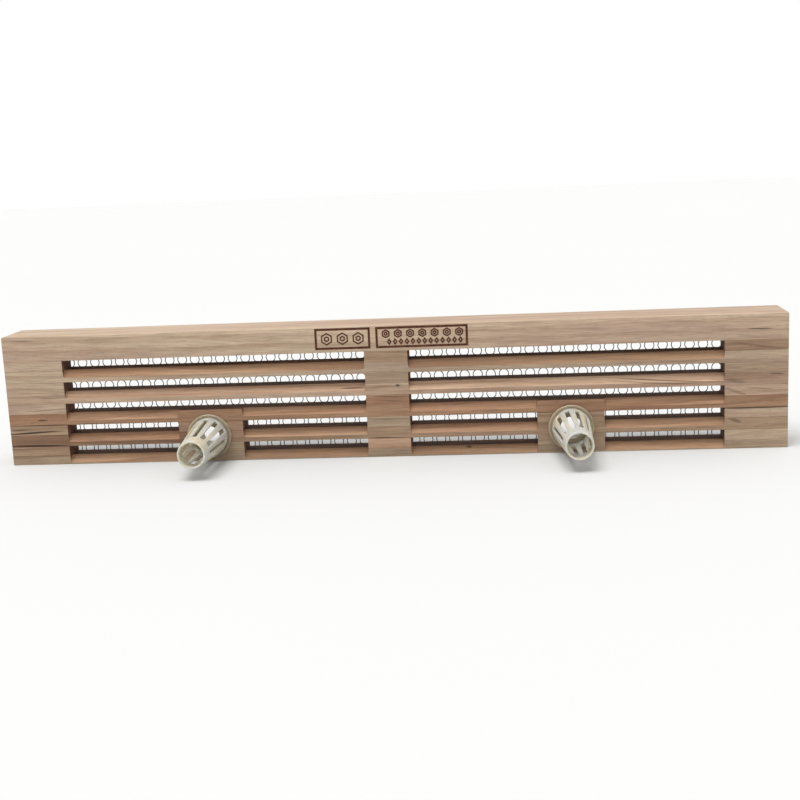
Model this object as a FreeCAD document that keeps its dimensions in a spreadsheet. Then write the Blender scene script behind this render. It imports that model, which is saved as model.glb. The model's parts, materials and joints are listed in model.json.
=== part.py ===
import FreeCAD
import Part
import Sketcher
import math
import os

# Pollen trap board for a beehive entrance: a laminated wooden board with five rows of slots,
# a strip of stainless wire rings behind each row, and two plastic bee escape cones.
#
# Row frame, in millimetres: +X along the board, +Y from the front face towards the hive,
# +Z up. The origin is the centre of the bottom rail's underside.
# Rows are numbered from 1 at the top to 5 at the bottom.

ROWS = 5
CONE_ROWS = (4, 5)
SIDES = {"left": -1, "right": 1}

# Driving dimensions: alias, value, what it is.
SIZES = (
    ("board_length", 420, "board, end to end"),
    ("board_depth", 30, "top rail, front to back"),
    ("top_rail_height", 13.7, "top rail"),
    ("slat_height", 6.3, "strip between two rows"),
    ("slot_height", 5.6, "open height of a row"),
    ("bottom_rail_height", 4.6, "lowest strip"),
    ("grille_depth", 15, "slats and blocks, front to back"),
    ("end_block_length", 32.6, "spacer block at each end of a row"),
    ("centre_block_length", 23.2, "spacer block in the middle of a row"),
    ("cone_block_length", 35.4, "spacer block that carries a cone"),
    ("cone_spacing", 194.6, "between the middles of the left and right cone blocks"),
    ("cone_offset_left", -1, "cone axis to the middle of its block"),
    ("cone_offset_right", 0, "cone axis to the middle of its block"),
    ("cone_rise", 0.65, "cone axis above the middle of the fourth slat"),
    ("bevel_height", 3.9, "bevel on a slat's upper front edge"),
    ("bevel_depth", 4.0, "the same bevel, front to back"),
    ("end_post_width", 20, "rear post at each end"),
    ("centre_post_width", 12, "rear post in the middle"),
    ("arris_round", 0.5, "rounded long edges of the top rail"),
    ("ring_inner_diameter", 4.5, "hole that a bee passes through"),
    ("ring_wire", 0.5, "wire of a ring"),
    ("ring_pitch", 7.07, "ring to ring"),
    ("ring_shift", -1.3, "the ring nearest the board's middle"),
    ("rail_wire", 0.6, "straight wire that the rings stand on"),
    ("strip_gap", 0.05, "strip to slat"),
    ("strip_end_margin", 8, "strip end to board end"),
    ("strip_drop_1", 0.9, "ring strip below the floor of row 1"),
    ("strip_drop_2", 1.9, "ring strip below the floor of row 2"),
    ("strip_drop_3", 0.8, "ring strip below the floor of row 3"),
    ("strip_drop_4", 1.5, "ring strip below the floor of row 4"),
    ("strip_drop_5", 1.6, "ring strip below the floor of row 5"),
    ("notch_clearance", 0.2, "post notch around a strip"),
    ("bore_to_strip", 1.0, "cone bore to the cut end of a strip"),
    ("flange_diameter", 24.2, "cone flange"),
    ("flange_thickness", 1.5, "cone flange"),
    ("cone_base_diameter", 20.4, "cone body at its flange"),
    ("cone_tip_diameter", 14.6, "cone body at its tip"),
    ("cone_length", 45, "back of the flange to the tip"),
    ("cone_wall", 1.4, "spigot wall, and cone wall at the flange"),
    ("tip_wall", 1.0, "cone wall at its tip"),
    ("base_ring_length", 2.5, "solid ring between flange and windows"),
    ("tip_ring_length", 9, "solid ring between windows and tip"),
    ("window_width", 2.5, "lengthwise window"),
    ("window_turn_left", 8.2, "windows turned about the cone's axis, in degrees"),
    ("window_turn_right", -8.2, "windows turned about the cone's axis, in degrees"),
    ("spigot_diameter", 14.4, "spigot behind the flange"),
    ("spigot_length", 12, "spigot behind the flange"),
    ("spigot_lead", 0.6, "chamfer on the spigot's end"),
    ("spigot_clearance", 0.4, "spigot to bore, radial"),
    ("seat_gap", 0.1, "flange to board"),
    ("cone_lean_left", 0.7, "cone axis off square, in degrees"),
    ("cone_lean_right", 3, "cone axis off square, in degrees"),
    ("staple_wire", 0.7, "staple wire"),
    ("staple_leg", 6, "staple leg"),
    ("staple_bite", 1.5, "upper leg to the underside of the strip it is driven into"),
    ("staple_clearance", 0.2, "lower leg to the rings above it"),
    ("staple_inset", 3, "staple to the end of the cone block"),
)
WINDOW_COUNT = 11

doc = FreeCAD.newDocument("PollenTrap")
sheet = doc.addObject("Spreadsheet::Sheet", "Sizes")
for line, (alias, amount, note) in enumerate(SIZES, start=1):
    sheet.set(f"A{line}", note)
    sheet.set(f"B{line}", str(amount))
    sheet.setAlias(f"B{line}", alias)
doc.recompute()

nodes = []


# ---------------------------------------------------------------- expressions

def size(alias):
    """Return the expression of one driving dimension."""
    return f"Sizes.{alias}"


def amount_of(expression):
    """Return the number that an expression has now."""
    result = sheet.evalExpression(expression)
    return float(getattr(result, "Value", result))


def row_floor(row):
    """Return the height of a row's floor, which is the top of the strip below it."""
    steps = ROWS - row
    return f"(Sizes.bottom_rail_height + {steps} * (Sizes.slot_height + Sizes.slat_height))"


def row_roof(row):
    """Return the height of the underside of the strip above a row."""
    return f"({row_floor(row)} + Sizes.slot_height)"


FRONT = "(-Sizes.grille_depth / 2)"
GRILLE_BACK = "(Sizes.grille_depth / 2)"
REAR = "(Sizes.board_depth - Sizes.grille_depth / 2)"
LEFT_END = "(-Sizes.board_length / 2)"
RIGHT_END = "(Sizes.board_length / 2)"
BAY_OUTER = "(Sizes.board_length / 2 - Sizes.end_block_length)"
BAY_INNER = "(Sizes.centre_block_length / 2)"
CONE_INNER = "(Sizes.cone_spacing / 2 - Sizes.cone_block_length / 2)"
CONE_OUTER = "(Sizes.cone_spacing / 2 + Sizes.cone_block_length / 2)"
CONE_X = "(Sizes.cone_spacing / 2)"
CONE_Z = f"({row_floor(4)} - Sizes.slat_height / 2 + Sizes.cone_rise)"
BORE_RADIUS = "(Sizes.spigot_diameter / 2 + Sizes.spigot_clearance)"
RING_RADIUS = "(Sizes.ring_inner_diameter / 2 + Sizes.ring_wire / 2)"
RING_OUTER = "(Sizes.ring_inner_diameter / 2 + Sizes.ring_wire)"
STRIP_THICKNESS = "max(Sizes.rail_wire; Sizes.ring_wire)"
STRIP_Y = f"({GRILLE_BACK} + Sizes.strip_gap + {STRIP_THICKNESS} / 2)"
# Cutters start this far outside the wood, so that no two faces coincide.
OVERCUT = 2


def mirrored(side, expression):
    """Return an x position on the left or right of the board."""
    return f"({SIDES[side]} * {expression})"


def cone_x(side):
    """Return the x position of a cone's axis at the front of the board."""
    return f"({mirrored(side, CONE_X)} + Sizes.cone_offset_{side})"


def open_bays(row):
    """Return the (low x, high x) pairs of the open bays of a row."""
    if row not in CONE_ROWS:
        return [(f"(-{BAY_OUTER})", f"(-{BAY_INNER})"), (BAY_INNER, BAY_OUTER)]
    return [(f"(-{BAY_OUTER})", f"(-{CONE_OUTER})"), (f"(-{CONE_INNER})", f"(-{BAY_INNER})"),
            (BAY_INNER, CONE_INNER), (CONE_OUTER, BAY_OUTER)]


# ---------------------------------------------------------------- building blocks

def bind(target, **expressions):
    """Bind properties of an object to expressions; x, y and z stand for its position."""
    for name, expression in expressions.items():
        path = f"Placement.Base.{name}" if name in ("x", "y", "z") else name
        target.setExpression(path, expression)


def box(name, x_span, y_span, z_span):
    """Add a box between pairs of expressions."""
    block = doc.addObject("Part::Box", name)
    bind(block, x=x_span[0], y=y_span[0], z=z_span[0],
         Length=f"{x_span[1]} - {x_span[0]}",
         Width=f"{y_span[1]} - {y_span[0]}",
         Height=f"{z_span[1]} - {z_span[0]}")
    return block


def cut(label, base, cutters):
    """Cut several tools from a base as one operation."""
    tools = cutters[0]
    if len(cutters) > 1:
        tools = doc.addObject("Part::MultiFuse", f"{label}_cutters")
        tools.Shapes = cutters
    result = doc.addObject("Part::Cut", label)
    result.Base = base
    result.Tool = tools
    return result


def keep(label, piece):
    """Give a finished sub-part its label and put it on the list of nodes."""
    piece.Label = label
    nodes.append(piece)
    return piece


def new_body(label):
    """Add a PartDesign body."""
    return doc.addObject("PartDesign::Body", label)


def new_sketch(body, name, plane_role):
    """Add a sketch on one of a body's own origin planes."""
    plane = next(item for item in body.Origin.OriginFeatures if item.Role == plane_role)
    sketch = body.newObject("Sketcher::SketchObject", name)
    sketch.AttachmentSupport = [(plane, "")]
    sketch.MapMode = "FlatFace"
    return sketch


def constrain(sketch, kind, *references, expression=None, name=None):
    """Add a constraint, and bind a dimension to an expression."""
    if expression is None:
        sketch.addConstraint(Sketcher.Constraint(kind, *references))
        return
    index = sketch.addConstraint(Sketcher.Constraint(kind, *references, amount_of(expression)))
    sketch.renameConstraint(index, name)
    sketch.setExpression(f"Constraints.{name}", expression)


def circle_sketch(body, name, plane_role, radius, centre_x=None, centre_y=None):
    """Draw a circle on the origin, or at a distance along one sketch axis."""
    sketch = new_sketch(body, name, plane_role)
    centre = FreeCAD.Vector(amount_of(centre_x or "0"), amount_of(centre_y or "0"), 0)
    sketch.addGeometry(Part.Circle(centre, FreeCAD.Vector(0, 0, 1), amount_of(radius)), False)
    constrain(sketch, "Radius", 0, expression=radius, name="radius")
    if centre_x is None and centre_y is None:
        constrain(sketch, "Coincident", 0, 3, -1, 1)
    elif centre_y is None:
        constrain(sketch, "PointOnObject", 0, 3, -1)
        constrain(sketch, "DistanceX", -1, 1, 0, 3, expression=centre_x, name="offset")
    else:
        constrain(sketch, "PointOnObject", 0, 3, -2)
        constrain(sketch, "DistanceY", -1, 1, 0, 3, expression=centre_y, name="offset")
    return sketch


def outline_sketch(body, name, plane_role, corners):
    """Draw a closed outline through corners, each a pair of expressions."""
    sketch = new_sketch(body, name, plane_role)
    points = [FreeCAD.Vector(amount_of(x), amount_of(y), 0) for x, y in corners]
    count = len(points)
    for index in range(count):
        edge = Part.LineSegment(points[index], points[(index + 1) % count])
        sketch.addGeometry(edge, False)
    for index in range(count):
        constrain(sketch, "Coincident", index, 2, (index + 1) % count, 1)
    for index, (x, y) in enumerate(corners):
        constrain(sketch, "DistanceX", -1, 1, index, 1, expression=x, name=f"x{index}")
        constrain(sketch, "DistanceY", -1, 1, index, 1, expression=y, name=f"y{index}")
    return sketch


# ---------------------------------------------------------------- wooden parts

def bevel_cutter(name, x_span, top):
    """Add a tool that bevels a strip's upper front edge between two x positions."""
    slope = "atan2(Sizes.bevel_height; Sizes.bevel_depth)"
    face = "sqrt(Sizes.bevel_height ^ 2 + Sizes.bevel_depth ^ 2)"
    tool = doc.addObject("Part::Box", name)
    tool.Placement.Rotation = FreeCAD.Rotation(FreeCAD.Vector(1, 0, 0), 1)
    bind(tool, x=x_span[0],
         y=f"{FRONT} - {OVERCUT} * cos({slope})",
         z=f"{top} - Sizes.bevel_height - {OVERCUT} * sin({slope})",
         Length=f"{x_span[1]} - {x_span[0]}",
         Width=f"{face} + 2 * {OVERCUT}",
         Height="Sizes.bevel_height + Sizes.bevel_depth")
    tool.setExpression("Placement.Rotation.Angle", slope)
    return tool


def bevel_cutters(label, row, x_limits):
    """Add the bevels of a strip between two x positions.

    They follow the bays of the row underneath, so they stop where a block stands under the strip.
    """
    low, high = (amount_of(limit) for limit in x_limits)
    cutters = []
    for number, bay in enumerate(open_bays(min(row + 1, ROWS)), start=1):
        if low <= amount_of(bay[0]) and amount_of(bay[1]) <= high:
            cutters.append(bevel_cutter(f"{label}_bevel_{number}", bay, row_floor(row)))
    return cutters


def bore_cutter(name, side):
    """Add the tool that bores a cone's hole along the cone's own axis."""
    tool = new_body(name)
    sketch = circle_sketch(tool, f"{name}_circle", "XZ_Plane", BORE_RADIUS)
    pad = tool.newObject("PartDesign::Pad", f"{name}_pad")
    pad.Profile = sketch
    pad.SideType = "Symmetric"
    pad.setExpression("Length", f"2 * Sizes.grille_depth + 2 * {OVERCUT}")
    tool.Placement.Rotation = FreeCAD.Rotation(FreeCAD.Vector(0, 0, 1), 1)
    tool.setExpression("Placement.Rotation.Angle", size(f"cone_lean_{side}"))
    bind(tool, x=cone_x(side), y=FRONT, z=CONE_Z)
    return tool


def strip_height(row):
    """Return the height span of the wooden strip below a row."""
    if row == ROWS:
        return "0", row_floor(row)
    return f"({row_floor(row)} - Sizes.slat_height)", row_floor(row)


def wooden_strip(label, row, x_span, bore_sides=()):
    """Build the strip below a row, or the part of it between two x positions.

    Every strip that a cone's bore could reach is cut by it, whatever the sizes are.
    """
    base = box(f"{label}_blank", x_span, (FRONT, GRILLE_BACK), strip_height(row))
    cutters = bevel_cutters(label, row, x_span)
    cutters += [bore_cutter(f"{label}_bore_{side}", side) for side in bore_sides]
    keep(label, cut(f"{label}_piece", base, cutters))


def block(label, row, x_span, bore_sides=()):
    """Build one spacer block of a row."""
    span = (row_floor(row), row_roof(row))
    base = box(f"{label}_blank", x_span, (FRONT, GRILLE_BACK), span)
    if not bore_sides:
        keep(label, base)
        return
    cutters = [bore_cutter(f"{label}_bore_{side}", side) for side in bore_sides]
    keep(label, cut(f"{label}_piece", base, cutters))


def top_rail():
    """Build the top rail, the only strip as deep as the whole board."""
    body = new_body("top_rail_body")
    corners = [(LEFT_END, FRONT), (RIGHT_END, FRONT), (RIGHT_END, REAR), (LEFT_END, REAR)]
    sketch = outline_sketch(body, "top_rail_outline", "XY_Plane", corners)
    pad = body.newObject("PartDesign::Pad", "top_rail_pad")
    pad.Profile = sketch
    pad.setExpression("Length", size("top_rail_height"))
    bind(body, z=row_roof(1))
    doc.recompute()
    top = max(vertex.Z for vertex in pad.Shape.Vertexes)
    upper_edges = [f"Edge{number}" for number, edge in enumerate(pad.Shape.Edges, start=1)
                   if all(math.isclose(vertex.Z, top, abs_tol=1e-6) for vertex in edge.Vertexes)]
    fillet = body.newObject("PartDesign::Fillet", "top_rail_arris")
    fillet.Base = (pad, upper_edges)
    fillet.setExpression("Radius", size("arris_round"))
    body.Tip = fillet
    keep("top_rail", body)


def rear_post(label, x_span):
    """Build a rear post, notched where it clamps the ring strips."""
    base = box(f"{label}_blank", x_span, (GRILLE_BACK, REAR), ("0", row_roof(1)))
    low = f"({x_span[0]} - {OVERCUT})"
    high = f"({x_span[1]} + {OVERCUT})"
    back = f"({GRILLE_BACK} + Sizes.strip_gap + {STRIP_THICKNESS} + Sizes.notch_clearance)"
    notches = []
    for row in range(1, ROWS + 1):
        foot = f"({strip_foot(row)} - Sizes.notch_clearance)"
        head = f"({strip_foot(row)} + 2 * {RING_OUTER} + 2 * Sizes.notch_clearance)"
        notches.append(box(f"{label}_notch_{row}", (low, high),
                           (f"({GRILLE_BACK} - {OVERCUT})", back), (foot, head)))
    keep(label, cut(f"{label}_piece", base, notches))


def wooden_parts():
    """Build every wooden piece."""
    top_rail()
    wooden_strip("slat_1", 1, (LEFT_END, RIGHT_END))
    wooden_strip("slat_2", 2, (LEFT_END, RIGHT_END))
    wooden_strip("slat_3", 3, (LEFT_END, RIGHT_END), SIDES)
    left_cone, right_cone = mirrored("left", CONE_X), mirrored("right", CONE_X)
    wooden_strip("slat_4_left", 4, (LEFT_END, left_cone), ["left"])
    wooden_strip("slat_4_middle", 4, (left_cone, right_cone), ["left", "right"])
    wooden_strip("slat_4_right", 4, (right_cone, RIGHT_END), ["right"])
    wooden_strip("bottom_rail", ROWS, (LEFT_END, RIGHT_END), SIDES)
    for row in range(1, ROWS + 1):
        block(f"row_{row}_block_left", row, (LEFT_END, f"(-{BAY_OUTER})"))
        block(f"row_{row}_block_centre", row, (f"(-{BAY_INNER})", BAY_INNER))
        block(f"row_{row}_block_right", row, (BAY_OUTER, RIGHT_END))
    for row in CONE_ROWS:
        block(f"row_{row}_cone_block_left", row, (f"(-{CONE_OUTER})", f"(-{CONE_INNER})"), ["left"])
        block(f"row_{row}_cone_block_right", row, (CONE_INNER, CONE_OUTER), ["right"])
    rear_post("rear_post_left", (LEFT_END, f"({LEFT_END} + Sizes.end_post_width)"))
    rear_post("rear_post_centre", ("(-Sizes.centre_post_width / 2)", "(Sizes.centre_post_width / 2)"))
    rear_post("rear_post_right", (f"({RIGHT_END} - Sizes.end_post_width)", RIGHT_END))


# ---------------------------------------------------------------- ring strips

def strip_foot(row):
    """Return the height of the lowest point of a row's rings."""
    return f"({row_floor(row)} - Sizes.strip_drop_{row})"


def strip_segments(row):
    """Return the name ending and the x limits of each ring strip of a row."""
    end = "(Sizes.board_length / 2 - Sizes.strip_end_margin)"
    if row not in CONE_ROWS:
        return [("", f"(-{end})", end)]
    gap = f"({BORE_RADIUS} + Sizes.bore_to_strip)"
    left, right = cone_x("left"), cone_x("right")
    return [("_left", f"(-{end})", f"({left} - {gap})"),
            ("_middle", f"({left} + {gap})", f"({right} - {gap})"),
            ("_right", f"({right} + {gap})", end)]


def ring_strip(label, row, low, high):
    """Build one strip: rings at an even pitch, standing on a straight wire."""
    shift, pitch = amount_of(size("ring_shift")), amount_of(size("ring_pitch"))
    reach = amount_of(RING_OUTER)
    first = math.ceil((amount_of(low) + reach - shift) / pitch)
    last = math.floor((amount_of(high) - reach - shift) / pitch)
    count = last - first + 1

    body = new_body(f"{label}_body")
    wire = circle_sketch(body, f"{label}_rail_circle", "YZ_Plane", "Sizes.rail_wire / 2",
                         centre_y=f"-{RING_RADIUS}")
    wire.setExpression("AttachmentOffset.Base.z", "-Sizes.ring_pitch / 2")
    rail = body.newObject("PartDesign::Pad", f"{label}_rail")
    rail.Profile = wire
    rail.setExpression("Length", f"{count} * Sizes.ring_pitch")
    circle = circle_sketch(body, f"{label}_ring_circle", "XY_Plane", "Sizes.ring_wire / 2",
                           centre_x=RING_RADIUS)
    ring = body.newObject("PartDesign::Revolution", f"{label}_ring")
    ring.Profile = circle
    ring.ReferenceAxis = (circle, ["V_Axis"])
    ring.Angle = 360
    doc.recompute()
    row_of_rings = body.newObject("PartDesign::LinearPattern", f"{label}_rings")
    row_of_rings.Originals = [ring]
    row_of_rings.Direction = (circle, ["H_Axis"])
    row_of_rings.Occurrences = count
    row_of_rings.setExpression("Length", f"{count - 1} * Sizes.ring_pitch")
    body.Tip = row_of_rings
    bind(body, x=f"Sizes.ring_shift + {first} * Sizes.ring_pitch", y=STRIP_Y,
         z=f"{strip_foot(row)} + {RING_OUTER}")
    keep(label, body)


def ring_strips():
    """Build the ring strips of all the rows."""
    for row in range(1, ROWS + 1):
        for ending, low, high in strip_segments(row):
            ring_strip(f"ring_strip_{row}{ending}", row, low, high)


# ---------------------------------------------------------------- escape cones

def escape_cone(side):
    """Build one cone. It points along -Y, and its flange's back face is at its own origin."""
    label = f"escape_cone_{side}"
    body = new_body(f"{label}_body")
    spigot = "(Sizes.spigot_diameter / 2)"
    throat = f"({spigot} - Sizes.cone_wall)"
    flange = "(Sizes.flange_diameter / 2)"
    base = "(Sizes.cone_base_diameter / 2)"
    tip = "(Sizes.cone_tip_diameter / 2)"
    profile = [
        (f"{spigot} - Sizes.spigot_lead", "Sizes.spigot_length"),
        (spigot, "Sizes.spigot_length - Sizes.spigot_lead"),
        (spigot, "0"),
        (flange, "0"),
        (flange, "-Sizes.flange_thickness"),
        (base, "-Sizes.flange_thickness"),
        (tip, "-Sizes.cone_length"),
        (f"{tip} - Sizes.tip_wall", "-Sizes.cone_length"),
        (f"{base} - Sizes.cone_wall", "-Sizes.flange_thickness"),
        (throat, "-Sizes.flange_thickness"),
        (throat, "Sizes.spigot_length"),
    ]
    sketch = outline_sketch(body, f"{label}_profile", "XY_Plane", profile)
    shell = body.newObject("PartDesign::Revolution", f"{label}_shell")
    shell.Profile = sketch
    shell.ReferenceAxis = (sketch, ["V_Axis"])
    shell.Angle = 360
    doc.recompute()

    near = "(-Sizes.flange_thickness - Sizes.base_ring_length)"
    far = "(-Sizes.cone_length + Sizes.tip_ring_length)"
    opening = outline_sketch(body, f"{label}_window_outline", "XY_Plane",
                             [("0", near), (flange, near), (flange, far), ("0", far)])
    opening.AttachmentOffset.Rotation = FreeCAD.Rotation(FreeCAD.Vector(0, 1, 0), 1)
    opening.setExpression("AttachmentOffset.Rotation.Angle", size(f"window_turn_{side}"))
    window = body.newObject("PartDesign::Pocket", f"{label}_window")
    window.Profile = opening
    window.SideType = "Symmetric"
    window.setExpression("Length", size("window_width"))
    doc.recompute()
    windows = body.newObject("PartDesign::PolarPattern", f"{label}_windows")
    windows.Originals = [window]
    windows.Axis = (sketch, ["V_Axis"])
    windows.Angle = 360
    windows.Occurrences = WINDOW_COUNT
    body.Tip = windows

    body.Placement.Rotation = FreeCAD.Rotation(FreeCAD.Vector(0, 0, 1), 1)
    body.setExpression("Placement.Rotation.Angle", size(f"cone_lean_{side}"))
    lift = f"(Sizes.seat_gap + {flange} * abs(sin(Sizes.cone_lean_{side})))"
    bind(body, x=cone_x(side), y=f"{FRONT} - {lift}", z=CONE_Z)
    keep(label, body)


# ---------------------------------------------------------------- staples

def staple(name, row, x):
    """Add one staple over a ring strip: a crown behind the wires and a leg above and below."""
    wire = "Sizes.staple_wire"
    side_span = (f"({x} - {wire} / 2)", f"({x} + {wire} / 2)")
    crown_front = f"({GRILLE_BACK} + {STRIP_THICKNESS} + 2 * Sizes.strip_gap)"
    crown_back = f"({crown_front} + {wire})"
    leg_span = (f"({crown_back} - Sizes.staple_leg)", crown_back)
    low_leg_top = f"({strip_foot(row)} - Sizes.staple_clearance)"
    high_leg_foot = f"({row_roof(row)} + Sizes.staple_bite)"
    lower = f"({low_leg_top} - {wire})"
    upper = f"({high_leg_foot} + {wire})"
    joined = doc.addObject("Part::MultiFuse", name)
    joined.Shapes = [
        box(f"{name}_crown", side_span, (crown_front, crown_back), (lower, upper)),
        box(f"{name}_low_leg", side_span, leg_span, (lower, low_leg_top)),
        box(f"{name}_high_leg", side_span, leg_span, (high_leg_foot, upper)),
    ]
    return joined


def strip_staples():
    """Build the staples that hold the cut strip ends to the cone blocks."""
    inner = f"({CONE_INNER} + Sizes.staple_inset)"
    outer = f"({CONE_OUTER} - Sizes.staple_inset)"
    staples = []
    for row in CONE_ROWS:
        for side in SIDES:
            for place, x in (("inner", inner), ("outer", outer)):
                name = f"staple_{row}_{side}_{place}"
                staples.append(staple(name, row, mirrored(side, x)))
    group = doc.addObject("Part::Compound", "strip_staples_group")
    group.Links = staples
    keep("strip_staples", group)


# ---------------------------------------------------------------- build and write

def check_document():
    """Stop if any object failed, or if a sub-part's shape is not a sound solid."""
    for item in doc.Objects:
        if {"Invalid", "Error"} & set(item.State):
            raise RuntimeError(f"{item.Label} failed: {item.State}")
    for item in nodes:
        if item.Shape.isNull() or not item.Shape.isValid() or item.Shape.Volume <= 0:
            raise RuntimeError(f"{item.Label} has no valid shape")


def write_nodes():
    """Write each sub-part to its own STEP file."""
    os.makedirs("parts", exist_ok=True)
    for item in nodes:
        item.Shape.exportStep(os.path.join("parts", f"{item.Label}.step"))
        print(f"{item.Label}: {len(item.Shape.Solids)} solid(s), {item.Shape.Volume:.1f} mm3")


wooden_parts()
ring_strips()
escape_cone("left")
escape_cone("right")
strip_staples()
doc.recompute()
check_document()
write_nodes()
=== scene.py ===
"""Looks of a wooden pollen trap board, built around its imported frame.

The board is glued up from wooden strips and blocks. Behind each row of slots stands a strip of
wire rings, and two moulded plastic escape cones are pushed into the lower half of the board.
Everything is in metres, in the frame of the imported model: +X along the board, +Y towards the
hive, +Z up.
"""
import json
import logging
import math
import random
from dataclasses import dataclass
from enum import Enum

import bmesh
import bpy
from mathutils import Matrix, Vector


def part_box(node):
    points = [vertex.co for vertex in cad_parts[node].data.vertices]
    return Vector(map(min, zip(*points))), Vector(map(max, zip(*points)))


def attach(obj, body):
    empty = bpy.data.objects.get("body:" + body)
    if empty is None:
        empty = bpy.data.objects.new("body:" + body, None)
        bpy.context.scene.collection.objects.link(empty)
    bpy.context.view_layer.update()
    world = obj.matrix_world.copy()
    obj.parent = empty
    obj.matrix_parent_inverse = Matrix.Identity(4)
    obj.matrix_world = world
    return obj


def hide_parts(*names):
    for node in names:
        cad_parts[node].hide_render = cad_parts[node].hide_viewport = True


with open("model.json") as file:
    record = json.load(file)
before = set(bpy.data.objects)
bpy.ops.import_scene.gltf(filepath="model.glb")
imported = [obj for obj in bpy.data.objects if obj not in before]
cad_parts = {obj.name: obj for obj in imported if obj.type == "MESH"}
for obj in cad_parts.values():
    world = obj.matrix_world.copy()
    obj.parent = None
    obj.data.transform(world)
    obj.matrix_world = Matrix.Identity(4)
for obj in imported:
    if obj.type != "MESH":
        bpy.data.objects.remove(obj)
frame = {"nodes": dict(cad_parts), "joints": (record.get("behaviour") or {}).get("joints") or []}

Colour = tuple[float, float, float, float]
Section = list[tuple[float, float]]
Loop = list[bmesh.types.BMVert]

MM = 0.001
ROWS = 5
CONE_ROWS = (4, 5)
log = logging.getLogger("pollen_trap")


def srgb(red: int, green: int, blue: int) -> Colour:
    """Turn display values into a colour.

    Args:
        red: Red, from 0 to 255.
        green: Green, likewise.
        blue: Blue, likewise.

    Returns:
        The colour in linear light, opaque.
    """
    linear = []
    for value in (red, green, blue):
        share = value / 255
        linear.append(share / 12.92 if share <= 0.04045 else ((share + 0.055) / 1.055) ** 2.4)
    return (linear[0], linear[1], linear[2], 1.0)


# ------------------------------------------------------------------ node trees

class Graph:
    """A node tree that is being wired up."""

    def __init__(self, tree: bpy.types.NodeTree) -> None:
        """Start wiring a tree."""
        self.tree = tree

    def node(self, kind: str, inputs: dict | None = None, **settings) -> bpy.types.Node:
        """Add a node.

        Args:
            kind: The node's type.
            inputs: Socket names or numbers, each with a socket to link from or a value.
            settings: Properties of the node itself.

        Returns:
            The new node.
        """
        made = self.tree.nodes.new(kind)
        for name, value in settings.items():
            setattr(made, name, value)
        self.feed(made, inputs or {})
        return made

    def feed(self, node: bpy.types.Node, inputs: dict) -> None:
        """Link or set some of a node's inputs.

        Args:
            node: The node.
            inputs: Socket names or numbers, each with a socket to link from or a value.
        """
        for key, value in inputs.items():
            if isinstance(value, bpy.types.NodeSocket):
                self.tree.links.new(value, node.inputs[key])
            else:
                node.inputs[key].default_value = value

    def place(self) -> bpy.types.NodeSocket:
        """Return the point in the piece's own coordinates."""
        return self.node("ShaderNodeTexCoord").outputs["Object"]

    def math(self, operation: str, *values: object) -> bpy.types.NodeSocket:
        """Add a Math node on sockets or numbers and return its result."""
        return self.node("ShaderNodeMath", dict(enumerate(values)), operation=operation).outputs[0]

    def vector(self, operation: str, *values: object) -> bpy.types.NodeSocket:
        """Add a Vector Math node on two vectors and return its result."""
        return self.node("ShaderNodeVectorMath", dict(enumerate(values)), operation=operation).outputs[0]

    def xyz(self, *values: object) -> bpy.types.NodeSocket:
        """Join three sockets or numbers into a vector."""
        return self.node("ShaderNodeCombineXYZ", dict(enumerate(values))).outputs[0]

    def stretch(self, vector: bpy.types.NodeSocket, scale: tuple[float, float, float]) -> bpy.types.NodeSocket:
        """Scale a vector per axis."""
        return self.vector("MULTIPLY", vector, scale)

    def noise(self, vector: bpy.types.NodeSocket, scale: tuple[float, float, float], detail: float = 2.0,
              roughness: float = 0.5, output: str = "Fac") -> bpy.types.NodeSocket:
        """Add a noise on a vector.

        Args:
            vector: Where the noise is read.
            scale: How fine the noise is along each axis.
            detail: How many finer layers it has.
            roughness: How strong the finer layers are.
            output: Fac for a share, or Color for three of them.

        Returns:
            The noise.
        """
        inputs = {"Vector": self.stretch(vector, scale), "Scale": 1.0, "Detail": detail, "Roughness": roughness}
        return self.node("ShaderNodeTexNoise", inputs).outputs[output]

    def bump(self, height: bpy.types.NodeSocket, strength: float, distance: float) -> bpy.types.NodeSocket:
        """Turn a height into a normal."""
        return self.node("ShaderNodeBump", {"Height": height, "Strength": strength,
                                            "Distance": distance}).outputs[0]

    def ramp(self, value: bpy.types.NodeSocket, low: float, high: float,
             to_low: float = 0.0, to_high: float = 1.0) -> bpy.types.NodeSocket:
        """Map a value smoothly from one range to another, and hold it at the ends."""
        inputs = {0: value, 1: low, 2: high, 3: to_low, 4: to_high}
        node = self.node("ShaderNodeMapRange", inputs, interpolation_type="SMOOTHSTEP")
        return node.outputs[0]

    def mix(self, factor: object, first: object, second: object, blend: str = "MIX") -> bpy.types.NodeSocket:
        """Mix two colours."""
        inputs = {0: factor, 6: first, 7: second}
        node = self.node("ShaderNodeMix", inputs, data_type="RGBA", blend_type=blend)
        return node.outputs[2]


def new_material(name: str) -> tuple[bpy.types.Material, Graph, bpy.types.Node]:
    """Make a material with a bare shader.

    Args:
        name: The material's name.

    Returns:
        The material, its graph, and its principled shader.
    """
    material = bpy.data.materials.new(name)
    material.use_nodes = True
    return material, Graph(material.node_tree), material.node_tree.nodes["Principled BSDF"]


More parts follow.
